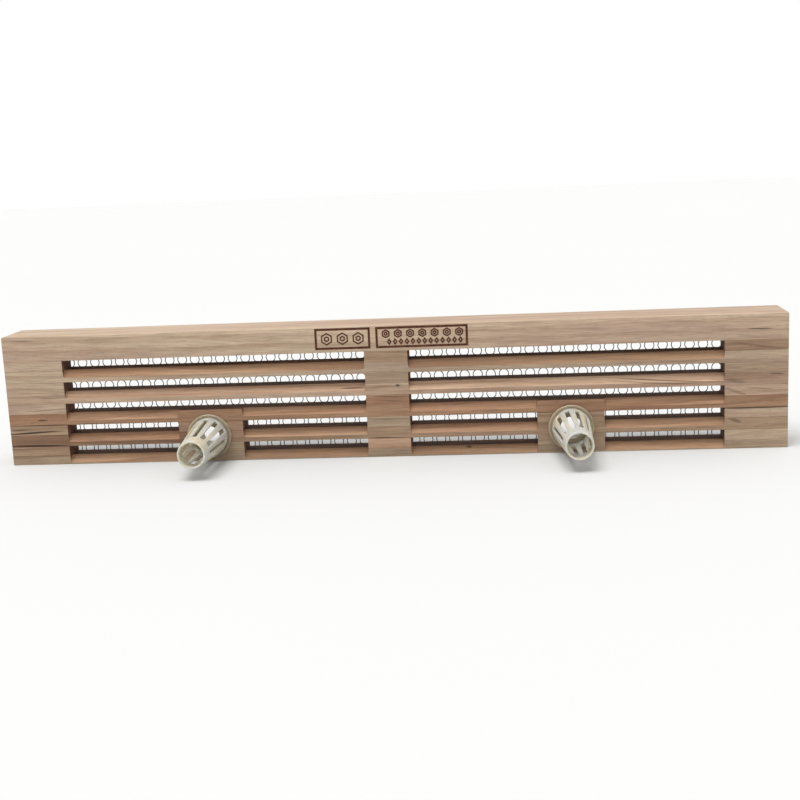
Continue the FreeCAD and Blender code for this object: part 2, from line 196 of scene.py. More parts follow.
class GeometryTree(Graph):
    """A Geometry Nodes tree with named inputs, and the way to grow a plain mesh from it."""

    def __init__(self, name: str, **inputs: str) -> None:
        """Start a tree.

        Args:
            name: The tree's name.
            inputs: Each input's name, and its socket type without the NodeSocket prefix.
        """
        super().__init__(bpy.data.node_groups.new(name, "GeometryNodeTree"))
        face = self.tree.interface
        face.new_socket("Geometry", in_out="INPUT", socket_type="NodeSocketGeometry")
        self.sockets = {}
        for title, kind in inputs.items():
            socket = face.new_socket(title, in_out="INPUT", socket_type=f"NodeSocket{kind}")
            self.sockets[title] = socket.identifier
        face.new_socket("Geometry", in_out="OUTPUT", socket_type="NodeSocketGeometry")
        self.given = self.node("NodeGroupInput").outputs

    def circle(self, resolution: int, radius: bpy.types.NodeSocket) -> bpy.types.NodeSocket:
        """Add a circle."""
        return self.node("GeometryNodeCurvePrimitiveCircle", {"Resolution": resolution, "Radius": radius},
                         mode="RADIUS").outputs[0]

    def sweep(self, path: bpy.types.NodeSocket, profile: bpy.types.NodeSocket,
              caps: bool = False) -> bpy.types.NodeSocket:
        """Sweep a profile along a path, with or without caps on its ends."""
        inputs = {"Curve": path, "Profile Curve": profile, "Fill Caps": caps}
        return self.node("GeometryNodeCurveToMesh", inputs).outputs[0]

    def finish(self, parts: list[bpy.types.NodeSocket]) -> None:
        """Join the parts, make them real, and give them the finish input as their material."""
        joined = self.node("GeometryNodeJoinGeometry")
        for part in parts:
            self.tree.links.new(part, joined.inputs[0])
        real = self.node("GeometryNodeRealizeInstances", {0: joined.outputs[0]})
        shaded = self.node("GeometryNodeSetShadeSmooth", {"Geometry": real.outputs[0], "Shade Smooth": True})
        dressed = self.node("GeometryNodeSetMaterial",
                            {"Geometry": shaded.outputs[0], "Material": self.given["finish"]})
        self.node("NodeGroupOutput", {0: dressed.outputs[0]})

    def grow(self, name: str, points: list[Vector] | None = None, **values: object) -> bpy.types.Object:
        """Evaluate the tree once and keep the result as a plain mesh.

        Args:
            name: The piece's name.
            points: Loose points for the tree to work on, if it needs any.
            values: A value for each named input.

        Returns:
            The new piece.
        """
        seedbed = bpy.data.meshes.new(f"{name}_points")
        seedbed.from_pydata(points or [], [], [])
        holder = link(bpy.data.objects.new(f"{name}_holder", seedbed))
        modifier = holder.modifiers.new("grow", "NODES")
        modifier.node_group = self.tree
        for title, value in values.items():
            modifier[self.sockets[title]] = value
        depsgraph = bpy.context.evaluated_depsgraph_get()
        mesh = bpy.data.meshes.new_from_object(holder.evaluated_get(depsgraph))
        bpy.data.objects.remove(holder)
        bpy.data.meshes.remove(seedbed)
        mesh.name = name
        return link(bpy.data.objects.new(name, mesh))


# ------------------------------------------------------------------ meshes

def link(piece: bpy.types.Object) -> bpy.types.Object:
    """Put an object in the scene."""
    bpy.context.scene.collection.objects.link(piece)
    return piece


def piece_from(mesh: bmesh.types.BMesh, name: str, materials: list[bpy.types.Material]) -> bpy.types.Object:
    """Turn a bmesh into a piece.

    Args:
        mesh: The mesh, which is used up.
        name: The piece's name.
        materials: The piece's materials, in order.

    Returns:
        The piece, in the scene.
    """
    data = bpy.data.meshes.new(name)
    mesh.to_mesh(data)
    mesh.free()
    for material in materials:
        data.materials.append(material)
    return link(bpy.data.objects.new(name, data))


def bake_modifiers(piece: bpy.types.Object) -> None:
    """Apply all of a piece's modifiers."""
    depsgraph = bpy.context.evaluated_depsgraph_get()
    data = bpy.data.meshes.new_from_object(piece.evaluated_get(depsgraph))
    old = piece.data
    data.name = old.name
    piece.modifiers.clear()
    piece.data = data
    bpy.data.meshes.remove(old)


def shade(piece: bpy.types.Object, sharp_degrees: float) -> None:
    """Shade smoothly, and keep edges sharp above an angle."""
    data = piece.data
    data.polygons.foreach_set("use_smooth", [True] * len(data.polygons))
    data.set_sharp_from_angle(angle=math.radians(sharp_degrees))


def prism(profile: Section, low: float, high: float) -> bmesh.types.BMesh:
    """Make a solid of one outline.

    Args:
        profile: The outline's (y, z) points in order.
        low: The x position of one end.
        high: The x position of the other end.

    Returns:
        The solid, with its faces pointing outwards.
    """
    mesh = bmesh.new()
    ends = [[mesh.verts.new((x, y, z)) for y, z in profile] for x in (low, high)]
    band(mesh, *ends)
    mesh.faces.new(ends[0])
    mesh.faces.new(ends[1])
    bmesh.ops.recalc_face_normals(mesh, faces=mesh.faces)
    return mesh


def band(mesh: bmesh.types.BMesh, near: Loop, far: Loop) -> list[bmesh.types.BMFace]:
    """Join two closed loops of as many points with four-sided faces, and return the faces."""
    faces = []
    for index in range(len(near)):
        after = (index + 1) % len(near)
        faces.append(mesh.faces.new((near[index], near[after], far[after], far[index])))
    return faces


def rectangle(low: Vector, high: Vector) -> Section:
    """Return a box's outline in (y, z)."""
    return [(low.y, low.z), (high.y, low.z), (high.y, high.z), (low.y, high.z)]


def soften(mesh: bmesh.types.BMesh, edges: list[bmesh.types.BMEdge], width: float, segments: int = 1) -> None:
    """Round some edges of a mesh."""
    bmesh.ops.bevel(mesh, geom=edges, offset=width, offset_type="OFFSET", segments=segments,
                    profile=0.5, affect="EDGES", clamp_overlap=True, material=-1)


def board_piece(piece: bpy.types.Object, node: str, body: str = "board") -> None:
    """Hand a finished piece to the frame, and report it.

    Args:
        piece: The piece.
        node: The node that it stands in for.
        body: The body that it rides on.
    """
    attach(piece, body)
    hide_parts(node)
    log.info("%s: %d faces, for %s", piece.name, len(piece.data.polygons), node)


# ------------------------------------------------------------------ finishes

@dataclass(frozen=True)
class Timber:
    """The colours of one board that pieces were sawn from."""

    pale: Colour
    deep: Colour
    blush: Colour


class Stock(Enum):
    """The boards that the strips and blocks come from."""

    BISCUIT = Timber(srgb(173, 153, 130), srgb(142, 118, 96), srgb(162, 138, 119))
    STRAW = Timber(srgb(168, 145, 123), srgb(134, 108, 86), srgb(157, 129, 109))
    PEACH = Timber(srgb(176, 148, 122), srgb(140, 108, 82), srgb(164, 132, 108))
    FAWN = Timber(srgb(152, 128, 104), srgb(118, 93, 72), srgb(143, 114, 93))
    ROSE = Timber(srgb(148, 118, 92), srgb(114, 82, 60), srgb(140, 104, 80))
    OLIVE = Timber(srgb(159, 140, 117), srgb(124, 104, 83), srgb(146, 123, 102))
    UMBER = Timber(srgb(136, 110, 87), srgb(100, 76, 56), srgb(124, 96, 75))
    HONEY = Timber(srgb(162, 130, 101), srgb(122, 92, 68), srgb(152, 116, 88))
    CREAM = Timber(srgb(182, 155, 129), srgb(142, 110, 85), srgb(168, 137, 112))
    RUSSET = Timber(srgb(158, 126, 99), srgb(122, 89, 65), srgb(150, 113, 87))


@dataclass(frozen=True)
class Fleck:
    """A dark streak, knot or patch of figure in the wood of a front face."""

    x: float
    z: float
    length: float
    height: float
    slope: float = 0.0
    depth: float = 0.5


@dataclass(frozen=True)
class WoodFinish:
    """Planed, unfinished wood with its grain along one axis."""

    stock: Stock
    streaks: float = 0.3
    ring_width: float = 4.2 * MM
    wander: float = 5.0 * MM
    vertical: bool = False
    flecks: tuple[Fleck, ...] = ()

    def build(self, name: str, seed: int) -> bpy.types.Material:
        """Make the material.

        Args:
            name: The material's name.
            seed: Picks the place in the log that this piece was sawn from.

        Returns:
            The material.
        """
        material, graph, shader = new_material(name)
        draw = random.Random(seed)
        pith = (draw.uniform(-1.0, 1.0), draw.uniform(0.02, 0.05), draw.uniform(-0.03, 0.03))
        tilt = (draw.uniform(0.0, math.tau), draw.uniform(-0.03, 0.03), draw.uniform(-0.03, 0.03))
        place = graph.place()
        if self.vertical:
            place = graph.node("ShaderNodeMapping", {"Vector": place, "Rotation": (0, math.pi / 2, 0)}).outputs[0]
        wood = graph.node("ShaderNodeMapping", {"Vector": place, "Location": pith, "Rotation": tilt}).outputs[0]

        drift = graph.noise(wood, (7, 30, 30), 3.0, output="Color")
        drift = graph.vector("SUBTRACT", drift, (0.5, 0.5, 0.5))
        bent = graph.vector("ADD", wood, graph.stretch(drift, (0, self.wander, self.wander)))
        split = graph.node("ShaderNodeSeparateXYZ", {0: bent}).outputs
        across = graph.math("SQRT", graph.math("ADD", graph.math("POWER", split[1], 2.0),
                                               graph.math("POWER", split[2], 2.0)))
        phase = graph.math("FRACT", graph.math("DIVIDE", across, self.ring_width))
        rise = graph.ramp(phase, 0.25, 0.93)
        fall = graph.ramp(phase, 0.93, 1.0, 1.0, 0.0)
        rings = graph.math("MULTIPLY", rise, fall)
        patchy = graph.noise(wood, (9, 70, 70))
        ring_share = graph.math("MULTIPLY", rings, graph.ramp(patchy, 0.35, 0.7, 0.15, 0.8))

        mottle = graph.noise(wood, (6, 55, 55), 2.0, 0.6)
        fibre = graph.noise(bent, (70, 1500, 1500), 2.0, 0.65)
        band = graph.noise(bent, (10, 480, 480), 2.0, 0.55)
        streak = graph.noise(bent, (14, 560, 560), 1.0)
        pores = graph.noise(wood, (320, 2600, 2600), 1.0)

        tones = self.stock.value
        colour = graph.mix(graph.ramp(mottle, 0.35, 0.68), tones.pale, tones.blush)
        colour = graph.mix(ring_share, colour, tones.deep)
        colour = graph.mix(graph.ramp(band, 0.46, 0.72, 0.0, 0.45), colour, tones.deep)
        dark = tuple(0.42 * channel for channel in tones.deep[:3]) + (1.0,)
        colour = graph.mix(graph.ramp(streak, 0.66, 0.74, 0.0, self.streaks), colour, dark)
        grey = graph.ramp(fibre, 0.25, 0.75, 0.82, 1.14)
        colour = graph.mix(1.0, colour, graph.xyz(grey, grey, grey), "MULTIPLY")
        speck = graph.ramp(pores, 0.66, 0.74, 1.0, 0.72)
        colour = graph.mix(1.0, colour, graph.xyz(speck, speck, speck), "MULTIPLY")

        crack = tuple(0.22 * channel for channel in tones.deep[:3]) + (1.0,)
        for fleck in self.flecks:
            colour = graph.mix(self.fleck_share(graph, place, drift, fleck), colour, crack)

        relief = graph.math("ADD", graph.math("MULTIPLY", fibre, 0.7), graph.math("MULTIPLY", rings, 0.3))
        graph.feed(shader, {"Base Color": colour, "Roughness": graph.ramp(fibre, 0.2, 0.8, 0.58, 0.78),
                            "Normal": graph.bump(relief, 0.35, 0.15 * MM), "Specular IOR Level": 0.25})
        return material

    @staticmethod
    def fleck_share(graph: Graph, place: bpy.types.NodeSocket, drift: bpy.types.NodeSocket,
                    fleck: Fleck) -> bpy.types.NodeSocket:
        """Return how much a fleck darkens a point, as a soft, slightly wavy ellipse.

        Args:
            graph: The material's graph.
            place: The point in the piece's own coordinates, in metres.
            drift: Slow noise around zero, which makes the fleck wavy.
            fleck: The fleck, in millimetres.

        Returns:
            A socket from 0 to the fleck's depth.
        """
        wavy = graph.vector("ADD", place, graph.stretch(drift, (8 * MM, 0, 3 * MM)))
        split = graph.node("ShaderNodeSeparateXYZ", {0: wavy}).outputs
        along = graph.math("SUBTRACT", split[0], fleck.x * MM)
        level = graph.math("ADD", graph.math("MULTIPLY", along, fleck.slope), fleck.z * MM)
        up = graph.math("SUBTRACT", split[2], level)
        far = graph.math("POWER", graph.math("DIVIDE", along, fleck.length * MM / 2), 2.0)
        high = graph.math("POWER", graph.math("DIVIDE", up, fleck.height * MM / 2), 2.0)
        return graph.ramp(graph.math("ADD", far, high), 0.2, 1.0, fleck.depth, 0.0)


@dataclass(frozen=True)
class PaintedSlotShadeFinish:
    """Painted shade: a dark brown wood tone that stands in for the shade inside the slots, at the bevel run-outs and
    in the open joints.
    """

    # Both tones are painted shade; the noise only varies the grain in it.
    dark: Colour = srgb(84, 58, 43)
    warm: Colour = srgb(134, 98, 72)

    def build(self, name: str) -> bpy.types.Material:
        """Make the material."""
        material, graph, shader = new_material(name)
        place = graph.place()
        grain = graph.noise(place, (30, 700, 700), 3.0, 0.6)
        patch = graph.noise(place, (55, 160, 160))
        share = graph.math("MULTIPLY", graph.ramp(grain, 0.3, 0.7), graph.ramp(patch, 0.3, 0.7, 0.35, 1.0))
        graph.feed(shader, {"Base Color": graph.mix(share, self.dark, self.warm), "Roughness": 0.85,
                            "Normal": graph.bump(grain, 0.4, 0.2 * MM), "Specular IOR Level": 0.2})
        return material


@dataclass(frozen=True)
class WireFinish:
    """Drawn steel wire with a fine, even scratched surface."""

    bright: Colour = srgb(104, 107, 110)
    dull: Colour = srgb(58, 60, 64)
    roughness: float = 0.34

    def build(self, name: str) -> bpy.types.Material:
        """Make the material."""
        material, graph, shader = new_material(name)
        place = graph.place()
        cloud = graph.noise(place, (420, 420, 420), 3.0)
        scratch = graph.noise(place, (5200, 5200, 5200), 1.0)
        rough = graph.ramp(scratch, 0.3, 0.7, self.roughness - 0.08, self.roughness + 0.1)
        graph.feed(shader, {"Base Color": graph.mix(graph.ramp(cloud, 0.35, 0.65), self.bright, self.dull),
                            "Roughness": rough, "Normal": graph.bump(scratch, 0.15, 0.02 * MM), "Metallic": 1.0})
        return material


@dataclass(frozen=True)
class IvoryFinish:
    """Milky moulded polypropylene that lets some light through."""

    body: Colour = srgb(214, 206, 184)
    cool: Colour = srgb(204, 204, 198)
    clear: float = 0.32
    roughness: float = 0.34

    def build(self, name: str) -> bpy.types.Material:
        """Make the material."""
        material, graph, shader = new_material(name)
        place = graph.place()
        flow = graph.noise(place, (120, 45, 120), 3.0, 0.6)
        skin = graph.noise(place, (1500, 1500, 1500))
        rough = graph.ramp(skin, 0.3, 0.7, self.roughness - 0.05, self.roughness + 0.08)
        graph.feed(shader, {"Base Color": graph.mix(graph.ramp(flow, 0.35, 0.65), self.body, self.cool),
                            "Roughness": rough, "Normal": graph.bump(skin, 0.12, 0.05 * MM), "IOR": 1.49,
                            "Transmission Weight": self.clear, "Subsurface Weight": 0.9,
                            "Subsurface Radius": (1.0, 1.0, 0.85), "Subsurface Scale": 2.5 * MM})
        return material


@dataclass(frozen=True)
class BurntFinish:
    """Lines burnt into wood."""

    dark: Colour = srgb(62, 33, 20)
    edge: Colour = srgb(88, 52, 34)

    def build(self, name: str) -> bpy.types.Material:
        """Make the material."""
        material, graph, shader = new_material(name)
        place = graph.place()
        char = graph.noise(place, (700, 700, 700), 3.0, 0.6)
        graph.feed(shader, {"Base Color": graph.mix(graph.ramp(char, 0.35, 0.65), self.dark, self.edge),
                            "Roughness": 0.8, "Normal": graph.bump(char, 0.5, 0.05 * MM),
                            "Specular IOR Level": 0.2})
        return material


# ------------------------------------------------------------------ wooden board

@dataclass(frozen=True)
class Lamination:
    """How one wooden piece is dressed."""

    stock: Stock
    streaks: float = 0.25
    milled: Stock = Stock.ROSE
    milled_streaks: float = 0.2
    open_joint: bool = False
    flecks: tuple[Fleck, ...] = ()


DEFAULT = Lamination(Stock.BISCUIT)
LAMINATIONS = {
    "top_rail": Lamination(Stock.BISCUIT, 0.2, flecks=(
        Fleck(194, 63.2, 16, 0.9, -0.02, 0.8), Fleck(-197, 69.4, 18, 1.0, -0.03, 0.4))),
    "slat_1": Lamination(Stock.BISCUIT, 0.35, Stock.HONEY, 0.15, flecks=(
        Fleck(70, 49, 300, 60, 0.0, 0.2),)),
    "slat_2": Lamination(Stock.STRAW, 0.4, Stock.CREAM, 0.6, flecks=(
        Fleck(145, 37.6, 66, 0.8, -0.05, 0.6), Fleck(140, 36.5, 60, 0.7, -0.04, 0.5),
        Fleck(-19, 37.7, 16, 0.8, 0.0, 0.8), Fleck(205, 39.5, 10, 0.9, -0.05, 0.8),
        Fleck(190, 37, 44, 12, 0.0, 0.12), Fleck(184, 36.4, 13, 2.4, -0.2, 0.3), Fleck(5.4, 39.6, 3.0, 1.6, 0.0, 0.8),
        Fleck(0, 34.2, 28, 1.2, 0.02, 0.8))),
    "slat_3": Lamination(Stock.ROSE, 0.6, Stock.RUSSET, 0.2, flecks=(
        Fleck(-191, 25.3, 7, 1.0, 0.0, 0.8), Fleck(-194, 22.2, 44, 1.3, 0.02, 0.95))),
    "slat_4_left": Lamination(Stock.UMBER, 0.5, Stock.RUSSET, 0.3, True, (
        Fleck(-194, 10.9, 44, 1.3, -0.01, 0.95),)),
    "slat_4_middle": Lamination(Stock.FAWN, 0.4, Stock.RUSSET, 0.3, flecks=(
        Fleck(3, 10.5, 30, 1.3, -0.03, 0.85),)),
    "slat_4_right": Lamination(Stock.FAWN, 0.6, Stock.RUSSET, 0.3, flecks=(
        Fleck(181.5, 14.5, 8, 2.6, -0.3, 0.45),)),
    "bottom_rail": Lamination(Stock.OLIVE, 0.2, Stock.HONEY, 0.3, flecks=(
        Fleck(43.5, 4.0, 3.4, 1.6, 0.0, 0.8), Fleck(0, 2, 260, 60, 0.0, 0.22))),
    "row_1_block_centre": Lamination(Stock.FAWN, 0.2),
    "row_1_block_right": Lamination(Stock.FAWN, 0.4, flecks=(Fleck(194, 54.8, 34, 1.6, -0.16, 0.3),)),
    "row_2_block_centre": Lamination(Stock.OLIVE, 0.5),
    "row_2_block_right": Lamination(Stock.OLIVE, 0.3),
    "row_3_block_centre": Lamination(Stock.ROSE, 0.8, flecks=(
        Fleck(0, 33.0, 22, 0.8, -0.04, 0.5), Fleck(1, 30.6, 20, 0.7, -0.06, 0.45))),
    "row_3_block_left": Lamination(Stock.BISCUIT, 0.5),
    "row_3_block_right": Lamination(Stock.STRAW, 0.4, flecks=(
        Fleck(184, 30.4, 14, 2.4, -0.35, 0.35), Fleck(196, 31.8, 16, 0.9, -0.05, 0.4))),
    "row_4_block_left": Lamination(Stock.FAWN, 0.8, open_joint=True, flecks=(
        Fleck(-196, 18.5, 40, 1.3, 0.04, 0.95), Fleck(-204, 20.2, 14, 0.9, 0.03, 0.7))),
    "row_4_block_centre": Lamination(Stock.OLIVE, 0.3),
    "row_4_block_right": Lamination(Stock.BISCUIT, 0.2, open_joint=True, flecks=(
        Fleck(194, 22.0, 48, 1.3, 0.0, 0.95),)),
    "row_4_cone_block_left": Lamination(Stock.FAWN, 0.3, open_joint=True),
    "row_4_cone_block_right": Lamination(Stock.FAWN, 0.3, open_joint=True),
    "row_5_block_left": Lamination(Stock.FAWN, 0.5, open_joint=True),
    "row_5_block_centre": Lamination(Stock.PEACH, 0.4),
    "row_5_block_right": Lamination(Stock.BISCUIT, 0.3),
    "row_5_cone_block_left": Lamination(Stock.OLIVE, 0.3),
    "row_5_cone_block_right": Lamination(Stock.OLIVE, 0.3),
    "rear_post_left": Lamination(Stock.STRAW, 0.3),
    "rear_post_centre": Lamination(Stock.BISCUIT, 0.3),
    "rear_post_right": Lamination(Stock.STRAW, 0.3),
}


class Face(Enum):
    """Material places on a wooden piece."""

    PLANED = 0
    # Painted shade: the dark slot tone stands in for shade in slots, run-outs and open joints.
    PAINTED_SHADE = 1
    MILLED = 2


@dataclass
class Board:
    """The glued-up board: rail, slats, spacer blocks and rear posts."""

    # The painted slot shade material.
    slot_shade: bpy.types.Material
    arris: float = 0.15 * MM
    rail_round: float = 0.5 * MM
    bevel_height: float = 3.9 * MM
    bevel_depth: float = 4.0 * MM
    runout: float = 0.8 * MM
    station: float = 7.0 * MM
    hand_error: float = 0.12 * MM
    notch_behind: float = 0.2 * MM
    notch_above: float = 0.4 * MM
    notch_below: float = 0.2 * MM

    def build(self) -> None:
        """Build and dress every wooden piece."""
        self.top_rail()
        for node in ("slat_1", "slat_2", "slat_3", "slat_4_left", "slat_4_middle", "slat_4_right",
                     "bottom_rail"):
            self.slat(node)
        for row in range(1, ROWS + 1):
            for place in ("left", "centre", "right"):
                self.block(f"row_{row}_block_{place}", place)
        for row in CONE_ROWS:
            for side in ("left", "right"):
                self.block(f"row_{row}_cone_block_{side}", "cone")
        for place in ("left", "centre", "right"):
            self.post(f"rear_post_{place}")

    def materials(self, node: str, vertical: bool = False, milled: bool = False) -> list[bpy.types.Material]:
        """Make a piece's materials.

        Args:
            node: The piece's node.
            vertical: Whether the grain runs upwards.
            milled: Whether the piece has a bevel, with a tone of its own.

        Returns:
            The materials, in the order of Face.
        """
        look = LAMINATIONS.get(node, DEFAULT)
        seed = sum(ord(letter) * (place + 3) for place, letter in enumerate(node))
        planed = WoodFinish(look.stock, look.streaks, vertical=vertical, flecks=look.flecks)
        # The second material is the painted slot shade.
        dressed = [planed.build(f"{node}_planed", seed), self.slot_shade]
        if milled:
            routed = WoodFinish(look.milled, look.milled_streaks, flecks=look.flecks)
            dressed.append(routed.build(f"{node}_milled", seed + 7))
        return dressed

    def bays(self, row: int) -> list[tuple[float, float]]:
        """Find the open stretches of a row.

        Args:
            row: The row, from 1 at the top.

        Returns:
            The stretches, as pairs of x positions.
        """
        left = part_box(f"row_{row}_block_left")[1].x
        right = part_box(f"row_{row}_block_right")[0].x
        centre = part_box(f"row_{row}_block_centre")
        edges = [left, centre[0].x, centre[1].x, right]
        if row in CONE_ROWS:
            cones = [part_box(f"row_{row}_cone_block_{side}") for side in ("left", "right")]
            edges = [left, cones[0][0].x, cones[0][1].x, centre[0].x,
                     centre[1].x, cones[1][0].x, cones[1][1].x, right]
        return list(zip(edges[::2], edges[1::2]))

    def top_rail(self) -> None:
        """Build the top rail, with its upper edges rounded."""
        low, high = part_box("top_rail")
        mesh = prism(rectangle(low, high), low.x, high.x)
        upper = [edge for edge in mesh.edges if all(vert.co.z > high.z - self.arris for vert in edge.verts)]
        soften(mesh, upper, self.rail_round, 3)
        piece = piece_from(mesh, "top_rail_wood", self.materials("top_rail"))
        shade(piece, 40)
        board_piece(piece, "top_rail")

    def stations(self, node: str, row: int, span: tuple[float, float]) -> list[tuple[float, float]]:
        """Return (x, share of the bevel) pairs along a slat.

        Args:
            node: The slat's node, which seeds the small errors of the cutter.
            row: The row whose floor the slat is.
            span: The slat's ends.

        Returns:
            The stations in order along X.
        """
        draw = random.Random(node)
        inside = [edge for bay in self.bays(row) for edge in bay if span[0] < edge < span[1]]
        stations = {round(x, 7): 0.0 for x in (span[0], span[0] + self.arris, span[1] - self.arris, span[1])}
        stations.update({round(x, 7): 0.0 for x in inside})
        for low, high in self.bays(min(row + 1, ROWS)):
            if low < span[0] or high > span[1]:
                continue
            stations[round(low, 7)] = stations[round(high, 7)] = 0.0
            for share in (0.3, 0.6, 1.0):
                depth = math.sqrt(1 - (1 - share) ** 2)
                for x in (low + share * self.runout, high - share * self.runout):
                    stations[round(x, 7)] = depth
            count = round((high - low - 2 * self.runout) / self.station)
            for step in range(1, count):
                x = low + self.runout + step * (high - low - 2 * self.runout) / count
                stations[round(x, 7)] = 1.0 + draw.uniform(-1, 1) * self.hand_error / self.bevel_height
            for x in inside:
                if low + self.runout < x < high - self.runout:
                    stations[round(x, 7)] = 1.0
        return sorted(stations.items())

    def slat(self, node: str) -> None:
        """Build one slat, bevelled along its bays.

        Args:
            node: The slat's node.
        """
        row = ROWS if node == "bottom_rail" else int(node.split("_")[1])
        low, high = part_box(node)
        stations = self.stations(node, row, (low.x, high.x))
        arris = self.arris
        mesh = bmesh.new()
        rings = []
        for x, share in stations:
            inset = arris if x in (stations[0][0], stations[-1][0]) else 0.0
            depth = arris + (self.bevel_depth - arris) * share
            height = arris + (self.bevel_height - arris) * share
            outline = [(low.y, low.z + arris), (low.y + arris, low.z),
                       (high.y - arris, low.z), (high.y, low.z + arris),
                       (high.y, high.z - arris), (high.y - arris, high.z),
                       (low.y + depth, high.z), (low.y, high.z - height)]
            rings.append([mesh.verts.new((x, min(max(y, low.y + inset), high.y - inset),
                                          min(max(z, low.z + inset), high.z - inset)))
                          for y, z in outline])
        floors, roofs = self.bays(row), self.bays(min(row + 1, ROWS)) if row < ROWS else []
        open_joint = LAMINATIONS.get(node, DEFAULT).open_joint
        for (before, after), (first, second) in zip(zip(rings, rings[1:]), zip(stations, stations[1:])):
            middle = (first[0] + second[0]) / 2
            for index, face in enumerate(band(mesh, before, after)):
                # Painted shade on the slot floors (top faces) and slot ceilings (undersides).
                if index == 5 and any(start < middle < end for start, end in floors):
                    face.material_index = Face.PAINTED_SHADE.value
                if index == 1 and any(start < middle < end for start, end in roofs):
                    face.material_index = Face.PAINTED_SHADE.value
                if index == 6 and first[1] + second[1] > 0.01:
                    face.material_index = Face.MILLED.value
                # Painted shade on the bevel run-out ends and on the front arrises of open joints.
                if (index == 6 and min(first[1], second[1]) == 0.0 and first[1] != second[1]
                        or index in (0, 6) and open_joint and first[1] + second[1] == 0.0):
                    face.material_index = Face.PAINTED_SHADE.value
        mesh.faces.new(rings[0])
        mesh.faces.new(rings[-1])
        bmesh.ops.recalc_face_normals(mesh, faces=mesh.faces)
        piece = piece_from(mesh, f"{node}_wood", self.materials(node, milled=True))
        if node.startswith("slat_4"):
            self.bore(piece)
        shade(piece, 25)
        board_piece(piece, node)

    def block(self, node: str, place: str) -> None:
        """Build one spacer block; the ends that face a slot get the painted slot shade.

        Args:
            node: The block's node.
            place: left, centre, right or cone.
        """
        low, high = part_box(node)
        mesh = prism(rectangle(low, high), low.x, high.x)
        soften(mesh, list(mesh.edges), self.arris)
        open_joint = LAMINATIONS.get(node, DEFAULT).open_joint
        for face in mesh.faces:
            outer = (place == "left" and face.normal.x < 0) or (place == "right" and face.normal.x > 0)
            joint = open_joint and 0.1 < abs(face.normal.z) < 0.9
            # Painted shade on slot-facing ends and on the arrises of open joints.
            if joint or abs(face.normal.x) > 0.99 and not outer:
                face.material_index = Face.PAINTED_SHADE.value
        piece = piece_from(mesh, f"{node}_wood", self.materials(node))
        if place == "cone":
            self.bore(piece)
        shade(piece, 25)
        board_piece(piece, node)

    def bore(self, piece: bpy.types.Object) -> None:
        """Cut the two cone bores out of a piece.

        Args:
            piece: The piece, which keeps its materials.
        """
        for side in ("left", "right"):
            cone = EscapeCone(side, [])
            cutter_mesh = bmesh.new()
            bmesh.ops.create_cone(cutter_mesh, cap_ends=True, segments=64, radius1=cone.bore_radius,
                                  radius2=cone.bore_radius, depth=cone.bore_reach)
            cutter_mesh.transform(Matrix.Rotation(math.pi / 2, 4, "X"))
            cutter_mesh.transform(cone.placement())
            cutter = piece_from(cutter_mesh, "bore_cutter", list(piece.data.materials))
            modifier = piece.modifiers.new("bore", "BOOLEAN")
            modifier.object = cutter
            modifier.operation = "DIFFERENCE"
            modifier.solver = "EXACT"
            bake_modifiers(piece)
            bpy.data.objects.remove(cutter)

    def post(self, node: str) -> None:
        """Build one rear post, notched around the ring strips.

        Args:
            node: The post's node.
        """
        low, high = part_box(node)
        notch_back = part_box("ring_strip_1")[1].y + self.notch_behind
        outline = [(high.y, low.z), (high.y, high.z), (low.y, high.z)]
        for row in range(1, ROWS + 1):
            strip = f"ring_strip_{row}" if row not in CONE_ROWS else f"ring_strip_{row}_left"
            foot, head = (corner.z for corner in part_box(strip))
            top, bottom = head + self.notch_above, foot - self.notch_below
            outline += [(low.y, top), (notch_back, top), (notch_back, bottom), (low.y, bottom)]
        outline.append((low.y, low.z))
        mesh = prism(outline, low.x, high.x)
        soften(mesh, list(mesh.edges), self.arris)
        piece = piece_from(mesh, f"{node}_wood", self.materials(node, vertical=True))
        shade(piece, 25)
        board_piece(piece, node)


# ------------------------------------------------------------------ burnt mark

@dataclass(frozen=True)
class CellRow:
    """A row of small closed outlines, in millimetres."""

    x: float
    z: float
    pitch: float
    count: int
    radius: float
    corners: int = 6
    stretch: float = 1.0


